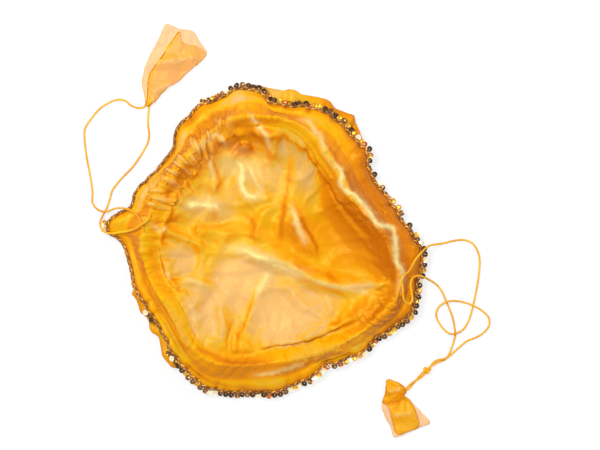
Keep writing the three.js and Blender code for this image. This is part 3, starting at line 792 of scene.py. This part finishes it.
def tissue_material(name, single):
    """Tissue whose single layers have the colour given."""
    material, tree = new_material(name)
    place = add_node(tree, "ShaderNodeTexCoord").outputs["Object"]
    tone = add_node(tree, "ShaderNodeAttribute", attribute_name="pale").outputs["Fac"]
    painted_sheen = add_node(tree, "ShaderNodeAttribute", attribute_name="painted_highlight").outputs["Fac"]
    crush = add_node(tree, "ShaderNodeTexNoise", {
        "Vector": place, "Scale": CRUSH, "Detail": 4.0, "Roughness": 0.5, "Distortion": 0.6,
    })
    crease = add_node(tree, "ShaderNodeMath", {0: crush.outputs["Fac"], 1: 0.5}, operation="SUBTRACT")
    crease = add_node(tree, "ShaderNodeMath", {0: crease.outputs[0]}, operation="ABSOLUTE")
    weave = add_node(tree, "ShaderNodeTexNoise", {"Vector": place, "Scale": WEAVE, "Detail": 1.0})
    relief = add_node(tree, "ShaderNodeMath", {
        0: weave.outputs["Fac"], 1: 0.05, 2: crease.outputs[0],
    }, operation="MULTIPLY_ADD")
    raised = add_node(tree, "ShaderNodeBump", {
        "Height": relief.outputs[0], "Strength": 0.7, "Distance": 0.0023,
    }).outputs["Normal"]
    tilt = add_node(tree, "ShaderNodeLayerWeight", {"Blend": 0.5, "Normal": raised})
    patches = add_node(tree, "ShaderNodeTexNoise", {"Vector": place, "Scale": PATCHES, "Detail": 2.0})
    thin_and_painted_light = add_node(tree, "ShaderNodeMath", {
        0: patches.outputs["Fac"], 1: 0.8, 2: tone,
    }, operation="MULTIPLY_ADD")
    thin_and_painted_light = add_node(tree, "ShaderNodeMath", {0: thin_and_painted_light.outputs[0], 1: 0.4}, operation="SUBTRACT")
    leaning_and_painted_light = add_node(tree, "ShaderNodeMath", {
        0: tilt.outputs["Facing"], 1: -1.6, 2: thin_and_painted_light.outputs[0],
    }, operation="MULTIPLY_ADD")
    cover = add_node(tree, "ShaderNodeMapRange", {
        "Value": leaning_and_painted_light.outputs[0], "From Min": -0.1, "From Max": 0.80,
        "To Min": THICKEST, "To Max": THINNEST,
    })
    # Where a highlight is painted, the cloth is also drawn opaque.
    solid = add_node(tree, "ShaderNodeMath", {0: painted_sheen, 1: cover.outputs["Result"]}, operation="MAXIMUM")
    layers = add_node(tree, "ShaderNodeMapRange", {
        "Value": leaning_and_painted_light.outputs[0], "From Min": -1.0, "From Max": 1.0,
    })
    ramp = add_node(tree, "ShaderNodeValToRGB", {"Fac": layers.outputs["Result"]})
    stops = ramp.color_ramp.elements
    stops[0].color = colour("#CE7000")
    stops[1].color = colour(single)
    for position, code in ((0.45, "#EA9000"), (0.6, "#FFB200"), (0.71, "#FFC806")):
        stops.new(position).color = colour(code)
    # Painted highlight: where it is painted, the colour is mixed towards a nearly white yellow.
    tint = add_node(tree, "ShaderNodeMix", {
        0: painted_sheen, 6: ramp.outputs["Color"], 7: colour("#FFF0A4"),
    }, data_type="RGBA").outputs[2]
    skin = add_node(tree, "ShaderNodeBsdfPrincipled", {
        "Base Color": tint, "Roughness": 0.36, "Specular IOR Level": 0.6,
        "Specular Tint": colour("#FFDC6C"), "Sheen Weight": 0.18, "Sheen Roughness": 0.4,
        "Sheen Tint": colour("#FFD050"), "Normal": raised,
    })
    through = add_node(tree, "ShaderNodeBsdfTranslucent", {"Color": tint, "Normal": raised})
    body = add_node(tree, "ShaderNodeMixShader", {0: 0.10, 1: skin.outputs[0], 2: through.outputs[0]})
    clear = add_node(tree, "ShaderNodeBsdfTransparent", {"Color": colour("#FFFFFF")})
    cloth_mix = add_node(tree, "ShaderNodeMixShader", {
        0: solid.outputs[0], 1: clear.outputs[0], 2: body.outputs[0],
    })
    add_node(tree, "ShaderNodeOutputMaterial", {"Surface": cloth_mix.outputs[0]})
    return material


tissue = tissue_material("tissue_cloth", "#FFD060")
lining.data.materials.append(tissue)


# The outer cloth is the second disc of the same tissue. It carries the lining, and its slack
# side wall lies in folds on the table. Where it swells out beyond the ruffle, its outline is
# listed in millimetres.
SWELLS = (
    [
        (-20, 128), (-15.2, 145), (4.5, 142.6), (29, 137.5), (52.9, 132.6), (61.2, 125.1),
        (77.5, 117.6), (83.3, 109.5), (92, 86),
    ],
    [
        (-122, -26), (-123.7, -38.6), (-120.1, -58.9), (-109.9, -72.7), (-107.7, -83.7),
        (-100.2, -89.2), (-96.5, -97.5), (-94.6, -106.7), (-81.4, -118.7), (-62, -118),
    ],
)
OUTER_REST = 0.0016
UNDER_LINING = -0.0006
TABLE_GAP = 0.0006


def swell_at(turn, least):
    """The reach of the listed swells, where they go farther than the least."""
    reach = least
    for outline in SWELLS:
        line = smooth_line([(x, y, 0.0) for x, y in metres(outline)], 0.002)
        way = np.array([math.atan2(p.y, p.x) % TURN for p in line])
        far = np.array([math.hypot(p.x, p.y) for p in line])
        order = np.argsort(way)
        found = np.interp(turn % TURN, way[order], far[order], left=0.0, right=0.0)
        reach = np.maximum(reach, found)
    return reach


def outer_stations(turn):
    """The outer cloth's profile: a belly on the table, then close under the lining."""
    crest, top = crest_at(turn)
    rim, edge = rim_at(turn)
    width = rim - crest
    belly = swell_at(turn, crest + 0.001)
    inset = seam_inset(turn)
    base = OUTER_REST
    at_seam = lerp(top, edge, 0.42) - 0.0006 - 0.0036 * near(turn, 25, 60)
    return [
        (0.0, 0 * crest, base),
        (0.30, 0.40 * crest, base),
        (0.46, 0.72 * crest, base),
        (0.54, lerp(0.88 * crest, belly - 0.010, 0.8), base),
        (0.58, belly - 0.0025, base + 0.0014),
        (0.60, belly, base + 0.0045),
        (0.62, belly - 0.0025, base + 0.0080),
        (0.66, lerp(crest, belly, 0.35) - 0.004, 0.45 * top),
        (INNER_SEAM, crest - inset, top - 0.64 * inset - 0.0004),
        (CREST_LINE, crest, top - 0.0012),
        (OUTER_SEAM, crest + 0.42 * width, at_seam),
        (0.92, crest + 0.74 * width, lerp(top, edge, 0.74) + 0.0016),
        (1.0, rim, edge),
    ]


turn, share = cut_rows([
    (0.0, 0.5, 0.0025, 0.0025), (0.5, 0.72, 0.0009, 0.0018), (0.72, 1.0, 0.0018, 0.0018),
])
faces = cut_faces(turn, share)
spots = shaped(outer_stations, turn, share, UNDER_LINING)
spots[:, 2] += 0.35 * (folded(spots) + crumpled(spots)) * (1 - smooth(share, 0.50, 0.56))
window = smooth(share, 0.52, 0.60) * (1 - smooth(share, 0.64, 0.68))
puffs = ridges(turn, share, 6.0, 6.0, 41.0) + 0.4 * ridges(turn, share, 15.0, 9.0, 51.0)
spots[:, 2] += 0.0034 * window * (puffs - 0.3)
spots[:, 2] = np.maximum(spots[:, 2], TABLE_GAP)
tone_now = toned(spots, turn, share)
outer = link("outer_cloth", cloth_data("outer_cloth", turn, share, spots, faces, tone_now, 0 * turn))
thickened(outer, CLOTH)
outer.data.materials.append(tissue)
fasten(outer, "outer_bag")


# Inside the tunnel the two drawstrings lie side by side, each once round it. They are the
# same rayon cords, and their course is evened out, since a pulled cord makes no small bends.
CORD_DEPTH = -0.0017
SIDE_BY_SIDE = 0.010
DEGREES_APART = 0.45
EVENED = 31


def tunnel_cord(name, node, station, start, stop):
    step = math.copysign(DEGREES_APART, stop - start)
    way = np.radians(np.arange(start, stop, step))
    line = shaped(lining_stations, way, np.full(len(way), station), CORD_DEPTH)
    weights = np.hanning(EVENED) / np.hanning(EVENED).sum()
    reach = EVENED // 2
    ends = np.repeat(line[:1], reach, axis=0), np.repeat(line[-1:], reach, axis=0)
    padded = np.concatenate([ends[0], line, ends[1]])
    even = np.stack([np.convolve(padded[:, k], weights, mode="valid") for k in range(3)], axis=1)
    lay_cord(name, [Vector(p) for p in even], node)


tunnel_cord("left_cord_in_tunnel", "drawstring_left", CREST_LINE - SIDE_BY_SIDE, 178, 524)
tunnel_cord("right_cord_in_tunnel", "drawstring_right", CREST_LINE + SIDE_BY_SIDE, 331.5, -14)


# The braid is plaited from two brown strands and a gold one, with a fine rose gold thread
# looped through it. It is sewn along the very edge of the ruffle, on its upper side.
BRAID_PITCH = 0.0075
BRAID_STEP = 0.0009
BRAID_INSET = 0.0014
BRAID_LIFT = 0.0010
STRAND = 0.0013
STRAND_SIDES = 6
LOOP_THREAD = 0.0006
LOOP_SIDES = 5
LOOPS_A_PITCH = 1.63


def edge_places(station, inner, spacing):
    """Evenly spaced frames (place, out, up, along) round the bag at a share of the disc."""
    way = np.linspace(0, TURN, 4001)[:-1]
    line = shaped(lining_stations, way, np.full(len(way), station))
    behind = shaped(lining_stations, way, np.full(len(way), inner))
    ahead = np.roll(line, -1, axis=0) - line
    run = np.concatenate([[0], np.cumsum(np.linalg.norm(ahead, axis=1))])
    count = round(run[-1] / spacing)
    places = []
    for i in range(count):
        at = run[-1] * i / count
        k = int(np.searchsorted(run, at, side="right") - 1)
        part = (at - run[k]) / (run[k + 1] - run[k])
        spot = Vector(line[k] * (1 - part) + line[(k + 1) % len(line)] * part)
        along = Vector(line[(k + 12) % len(line)] - line[k - 12]).normalized()
        out = Vector(line[k] - behind[k])
        out = (out - along * out.dot(along)).normalized()
        places.append((spot, out, out.cross(along).normalized(), along))
    return places, run[-1]


def braid_strand(name, material, places, start, turns, swing, rise, section):
    """A strand that swings to and fro across the braid, and over and under the others."""
    line = []
    for i, (spot, out, up, along) in enumerate(places):
        phase = TURN * (turns * i / len(places) + start)
        across = swing * math.sin(phase) - BRAID_INSET
        line.append(spot + out * across + up * (BRAID_LIFT + rise * math.sin(2 * phase)))
    piece = link(name, swept(name, line, section, closed=True))
    piece.data.materials.append(material)
    fasten(piece, "rim_braid")


# Metallic thread, a narrow foil wrapped round a core: a dull glitter of lighter and darker
# spots. The foil's turns of 0.3 mm are drawn 1.4 mm long, 700 to a metre, since shorter ones
# don't show. The shade changes every 11 mm, 90 times in a metre.
THREAD_TURNS = 700.0
THREAD_SHADES = 90.0


def thread_material(name, shades, metallic, rough):
    finish = {"Metallic": metallic, "Roughness": rough}
    return fibrous_material(name, THREAD_TURNS, THREAD_SHADES, 0.25, 0.4, shades, finish)


brown_thread = thread_material("brown_metallic_thread", ("#562A06", "#B87020"), 0.15, 0.5)
gold_thread = thread_material("gold_metallic_thread", ("#A86810", "#FFC850"), 0.3, 0.4)
rose_thread = thread_material("rose_gold_thread", ("#A06828", "#ECB878"), 0.25, 0.4)

places, edge_length = edge_places(1.0, 0.98, BRAID_STEP)
fine_places = edge_places(1.0, 0.98, BRAID_STEP / 2)[0]
braid_turns = round(edge_length / BRAID_PITCH)
strand = lobed(STRAND / 2, STRAND_SIDES)
thread = lobed(LOOP_THREAD / 2, LOOP_SIDES)
for name, material, start in (
    ("rim_braid_brown_first", brown_thread, 0.0),
    ("rim_braid_brown_second", brown_thread, 1 / 3),
    ("rim_braid_gold", gold_thread, 2 / 3),
):
    braid_strand(name, material, places, start, braid_turns, 0.00145, 0.0004, strand)
loop_turns = round(braid_turns * LOOPS_A_PITCH)
braid_strand("rim_braid_loops", rose_thread, fine_places, 0.1, loop_turns, 0.0017, 0.0003, thread)


# The sequins are cups of 5 to 6 mm, stamped from gilt plastic film with a hole in the middle.
# They are strung in one row along the edge, which lies flat, leans over the edge on the right
# and is turned under at the upper left. Those stretches are given in degrees.
SEQUIN = 0.0056
SEQUIN_FILM = 0.00014
SEQUIN_SIDES = 10
SEQUIN_SPACING = 0.0050
TURNED_UNDER = ((115, 173.5), (176.5, 211), (216, 229))
ON_EDGE = (2, 38)
ON_EDGE_SHARE = 0.6
# Each cup's reflection of the room is painted into its colour: up to each share of them has a
# painted reflection from dark, 0, to white, 1.
PAINTED_REFLECTIONS = ((0.34, 0.05), (0.56, 0.2), (0.62, 0.38), (0.84, 0.62), (1.0, 0.95))
UP = Vector((0.0, 0.0, 1.0))
random.seed(7)

cup = bmesh.new()
bmesh.ops.create_circle(cup, cap_ends=False, segments=SEQUIN_SIDES, radius=SEQUIN / 2)
edges = cup.edges[:]
for scale, drop in ((0.62, -0.00045), (0.22, -0.0002)):
    grown = bmesh.ops.extrude_edge_only(cup, edges=edges)["geom"]
    moved = [v for v in grown if isinstance(v, bmesh.types.BMVert)]
    edges = [e for e in grown if isinstance(e, bmesh.types.BMEdge)]
    bmesh.ops.scale(cup, verts=moved, vec=(scale, scale, 1.0))
    bmesh.ops.translate(cup, verts=moved, vec=(0, 0, drop))
bmesh.ops.recalc_face_normals(cup, faces=cup.faces)
bmesh.ops.solidify(cup, geom=cup.faces[:], thickness=SEQUIN_FILM)
cup_data = bpy.data.meshes.new("cup")
cup.to_mesh(cup_data)

strung = bmesh.new()
painted_reflection = strung.verts.layers.float.new("painted_reflection")
for i, (spot, out, up, along) in enumerate(edge_places(1.0, 0.98, SEQUIN_SPACING)[0]):
    known = len(strung.verts)
    strung.from_mesh(cup_data)
    strung.verts.ensure_lookup_table()
    fresh = strung.verts[known:]
    level = Vector((along.x, along.y, 0.0)).normalized()
    away = level.cross(UP)
    stand = Matrix((level, away, UP)).transposed().to_4x4()
    direction = math.degrees(math.atan2(spot.y, spot.x)) % 360
    turned_under = any(start < direction < stop for start, stop in TURNED_UNDER)
    on_edge = ON_EDGE[0] < direction < ON_EDGE[1] and random.random() < ON_EDGE_SHARE
    leans = random.uniform(-82, -60) if on_edge else random.uniform(-34, 12)
    tilt = Matrix.Rotation(math.radians(leans), 4, "X")
    roll = Matrix.Rotation(math.radians(random.uniform(-22, 22)), 4, "Y")
    rise = 0.0005 + 0.0006 * (i % 2)
    if turned_under:
        reach, rise = -0.0032, -0.0016
    elif on_edge:
        reach = 0.0009
    else:
        reach = random.uniform(0.0018, 0.0028)
    middle = Matrix.Translation(spot + away * reach + UP * rise)
    spin = Matrix.Rotation(random.uniform(0, TURN), 4, "Z")
    bmesh.ops.transform(strung, matrix=middle @ stand @ tilt @ roll @ spin, verts=fresh)
    # Each cup is given a painted reflection, dark, brown, copper, gold or white, at random.
    drawn = random.random()
    mirrored = next(value for below, value in PAINTED_REFLECTIONS if drawn < below)
    for vert in fresh:
        vert[painted_reflection] = mirrored + random.uniform(-0.03, 0.03)
sequin_data = bpy.data.meshes.new("rim_sequins")
strung.to_mesh(sequin_data)
sequins = link("rim_sequins", sequin_data)
fasten(sequins, "sequin_row")

# Metallised plastic film: smooth, glossy gilt with a real mirror gloss, and a painted reflection
# of the room in its colour, so that one cup is painted nearly black and the next gold or white.
gilt_film, tree = new_material("gilt_plastic_film")
held = add_node(tree, "ShaderNodeAttribute", attribute_name="painted_reflection")
ramp = add_node(tree, "ShaderNodeValToRGB", {"Fac": held.outputs["Fac"]})
stops = ramp.color_ramp.elements
stops[0].color = colour("#26160A")
stops[1].color = colour("#FFF6DC")
for position, code in ((0.2, "#7A5426"), (0.38, "#A8541C"), (0.62, "#DDA028"), (0.85, "#F2D27A")):
    stops.new(position).color = colour(code)
film = add_node(tree, "ShaderNodeBsdfPrincipled", {
    "Base Color": ramp.outputs["Color"], "Metallic": 0.7, "Roughness": 0.25,
})
add_node(tree, "ShaderNodeOutputMaterial", {"Surface": film.outputs[0]})
sequin_data.materials.append(gilt_film)


# The tunnel's two rows are lock stitches of golden sewing thread, sewn by machine through
# both cloths. Each stitch shows as a small oval of 2.4 mm, and the next follows at 3.4 mm.
STITCH_SPACING = 0.0034
STITCH_LIFT = 0.0003
STITCH = (0.0012, 0.00022, 0.00022)

# Spun sewing thread, without any foil: dull, with hardly any gloss.
stitch_thread = thread_material("sewing_thread", ("#D08810", "#F0B030"), 0.0, 0.6)


def stitch_row(name, node, station):
    row = bmesh.new()
    for spot, out, up, along in edge_places(station, station - 0.01, STITCH_SPACING)[0]:
        made = bmesh.ops.create_uvsphere(row, u_segments=6, v_segments=4, radius=1.0)["verts"]
        stand = Matrix((along, out, up)).transposed().to_4x4()
        middle = Matrix.Translation(spot + up * STITCH_LIFT)
        size = Matrix.Diagonal((*STITCH, 1.0))
        bmesh.ops.transform(row, matrix=middle @ stand @ size, verts=made)
    for face in row.faces:
        face.smooth = True
    data = bpy.data.meshes.new(name)
    row.to_mesh(data)
    data.materials.append(stitch_thread)
    fasten(link(name, data), node)


stitch_row("outer_seam_stitches", "outer_seam_thread", OUTER_SEAM)
stitch_row("inner_seam_stitches", "inner_seam_thread", INNER_SEAM)


# Each tassel is a square of the same tissue, folded over the ends of its drawstring, bound
# there with a few turns of gold thread and left raw at its edges. Its lower layer has the
# whole outline, and the upper one turns back along a fold.
TASSEL_STEP = 0.0016
ROW_STEP = 0.87 * TASSEL_STEP
FRAYED = 0.0006
TASSEL_CLOTH = 0.00025
# The outlines and folds are in millimetres, and each crease has its two ends, its height and
# its half width. On the upper layer each crease carries a streak of painted highlight.
TASSEL_LEFT = [
    (-110, 123.5), (-103, 127), (-97, 134), (-90, 141), (-81, 146), (-73, 154), (-58, 167),
    (-55, 173), (-61, 183), (-68, 193), (-80, 195), (-92, 199), (-99, 186), (-105, 175), (-110, 164),
    (-113, 155), (-114.5, 145), (-112, 133),
]
LEFT_FOLDED = [
    (-110, 124), (-103.5, 127.8), (-97.5, 134.5), (-90.5, 141.5), (-81.5, 146.5), (-73.5, 154.5),
    (-59, 167), (-56, 172.5), (-65, 179), (-77, 182.5), (-80, 193), (-85, 187), (-91.7, 176.9),
    (-103, 160.7), (-107.3, 154.4), (-109.5, 144), (-110, 134),
]
LEFT_FOLD = [
    (-80.5, 193.8), (-91.7, 176.9), (-103, 160.7), (-107.3, 154.4), (-109.5, 142), (-110, 128),
]
LEFT_CREASES = (
    ((-100, 163), (-86, 166), 1.6, 7), ((-86, 163), (-69, 169), 1.8, 9),
    ((-102, 139), (-89, 143), 1.6, 6),
)
TASSEL_RIGHT = [
    (128.5, -138.5), (126.4, -133.5), (119.1, -129), (111, -127), (108.7, -139.5), (105.8, -150.3),
    (109, -162), (114, -171), (117, -180), (122, -179.5), (128, -177), (140, -172), (150, -167),
    (144, -159), (137, -152), (132, -146), (127, -141.5),
]
RIGHT_FOLDED = [
    (128, -138.8), (126.4, -134), (119.1, -129.4), (111.3, -127.5), (109, -140), (106.6, -148),
    (111.8, -153), (115, -164), (120.2, -177.5), (130, -175), (139.8, -170.5), (136.8, -155.5),
    (131.1, -145.7), (126.2, -141.2),
]
RIGHT_FOLD = [(106.2, -148.3), (116, -149.5), (125.3, -145)]
RIGHT_CREASES = (
    ((114, -138), (122, -136), 2.2, 6), ((118, -160), (132, -158), 1.8, 9),
)
# The same crisp, sheer tissue. It lies double and close on the table, so that it looks a
# warmer orange than it does in the bag.
tassel_tissue = tissue_material("tissue_cloth_single", "#FFB43C")


def inside(outline, x, y):
    crossings = 0
    for a, b in zip(outline, outline[1:] + outline[:1]):
        if (a.y > y) != (b.y > y) and x < a.x + (b.x - a.x) * (y - a.y) / (b.y - a.y):
            crossings += 1
    return crossings % 2 == 1


def flat_patch(outline):
    """A mesh of small triangles within the outline: its points and its faces."""
    line = smooth_line([(p.x, p.y, 0.0) for p in outline], TASSEL_STEP, closed=True)
    walk = []
    for p in line:
        frayed = Vector((noise.noise(p * 400), noise.noise(p * 400 + Vector((9, 9, 9)))))
        walk.append(p.xy + frayed * FRAYED)
    low = Vector((min(p.x for p in walk), min(p.y for p in walk)))
    high = Vector((max(p.x for p in walk), max(p.y for p in walk)))
    points = list(walk)
    for j in range(int((high.y - low.y) / ROW_STEP)):
        y = low.y + (j + 0.5) * ROW_STEP
        x = low.x + (0.5 + 0.5 * (j % 2)) * TASSEL_STEP
        while x < high.x:
            clear = min((Vector((x, y)) - p).length for p in walk) > 0.6 * TASSEL_STEP
            if clear and inside(walk, x, y):
                points.append(Vector((x, y)))
            x += TASSEL_STEP
    border = [(i, (i + 1) % len(walk)) for i in range(len(walk))]
    found = geometry.delaunay_2d_cdt(points, border, [], 1, 1e-9)
    return found[0], found[2]


def fold_distance(point, fold):
    best = 1.0
    for a, b in zip(fold, fold[1:]):
        t = max(0.0, min(1.0, (point - a).dot(b - a) / (b - a).length_squared))
        best = min(best, (point - a.lerp(b, t)).length)
    return best


def on_table(points):
    return [Vector(p) + CENTRE.xy for p in metres(points)]


def tassel(name, node, outline, folded_outline, fold, throat, tones, creases):
    fold = on_table(fold)
    throat = on_table([throat])[0]
    shape = bmesh.new()
    uv = shape.loops.layers.uv.new("cut")
    pale = shape.verts.layers.float.new("pale")
    painted_highlight = shape.verts.layers.float.new("painted_highlight")
    for layer, edge in enumerate((outline, folded_outline)):
        points, faces = flat_patch(on_table(edge))
        made = []
        for point in points:
            away = (point - throat).length
            off_fold = fold_distance(point, fold)
            angle = math.atan2(point.y - throat.y, point.x - throat.x)
            bend = Vector((point.x * 45, point.y * 45, 3.0))
            pleat = 0.0016 * abs(math.sin(7 * angle + layer)) * math.exp(-away / 0.020)
            crush = 0.0014 * max(0.0, 1 - 2 * abs(noise.noise(bend)))
            crush += 0.0010 * abs(noise.noise(bend * 3))
            painted_shine = 0.0
            for *ends, height, half in creases:
                off = fold_distance(point, on_table(ends))
                crush += height / 1000 * max(0.0, 1 - 1000 * off / half)
                # A streak of painted highlight runs along the crease.
                streak = 0.45 * math.exp(-((off / 0.0016) ** 2)) * (0.6 + noise.noise(bend * 9))
                painted_shine = max(painted_shine, streak)
            rise = 0.0010 + 0.0030 * math.exp(-away / 0.006) + pleat
            rise += crush * (1 - math.exp(-away / 0.012))
            tone = tones[layer] + 0.25 * noise.noise(bend * 0.8) - 0.8 * math.exp(-away / 0.005)
            if layer:
                rise += 0.0012 * (1 - math.exp(-off_fold / 0.003))
                tone -= 0.9 * math.exp(-((off_fold / 0.0016) ** 2))
            vert = shape.verts.new((point.x, point.y, rise))
            vert[pale] = tone
            vert[painted_highlight] = painted_shine * layer
            made.append(vert)
        for face in faces:
            flat_face = shape.faces.new([made[i] for i in face])
            flat_face.smooth = True
            for loop in flat_face.loops:
                loop[uv].uv = ((loop.vert.co.x + 0.2) / 0.4, (loop.vert.co.y + 0.2) / 0.4)
    bmesh.ops.remove_doubles(shape, verts=shape.verts, dist=0.0004)
    data = bpy.data.meshes.new(name)
    shape.to_mesh(data)
    data.materials.append(tassel_tissue)
    piece = link(name, data)
    thickened(piece, TASSEL_CLOTH)
    fasten(piece, node)
    return piece


# The gold thread that binds a tassel goes five times round its throat. The turns reach 2.1 mm
# to each side and 1.4 mm up and down.
BINDING_TURNS = 5
BINDING_STEPS = 14
BINDING_THREAD = 0.0006
BINDING_REACH = (0.0021, 0.0014)


def binding(name, node, points):
    """Turns of thread round the cord's end and the tassel's throat."""
    first, last = placed(points)
    ahead = (last - first).normalized()
    side = ahead.cross(UP).normalized()
    above = side.cross(ahead)
    line = []
    count = BINDING_TURNS * BINDING_STEPS
    for i in range(count + 1):
        angle = TURN * i / BINDING_STEPS
        beside_it = side * (BINDING_REACH[0] * math.cos(angle))
        over_it = above * (BINDING_REACH[1] * math.sin(angle))
        line.append(first.lerp(last, i / count) + beside_it + over_it)
    piece = link(name, swept(name, line, lobed(BINDING_THREAD / 2, STRAND_SIDES)))
    piece.data.materials.append(gold_thread)
    fasten(piece, node)


left_tassel = tassel(
    "left_tassel_cloth", "tassel_left", TASSEL_LEFT, LEFT_FOLDED, LEFT_FOLD,
    (-110, 122.5), (1.0, 0.95), LEFT_CREASES,
)
binding("left_tassel_binding", "tassel_left", ((-110, 124, 2.4), (-108.5, 128.5, 2.8)))
right_tassel = tassel(
    "right_tassel_cloth", "tassel_right", TASSEL_RIGHT, RIGHT_FOLDED, RIGHT_FOLD,
    (127.5, -137.5), (0.95, 0.25), RIGHT_CREASES,
)
binding("right_tassel_binding", "tassel_right", ((127.5, -137.5, 2.4), (123.5, -140.5, 2.8)))
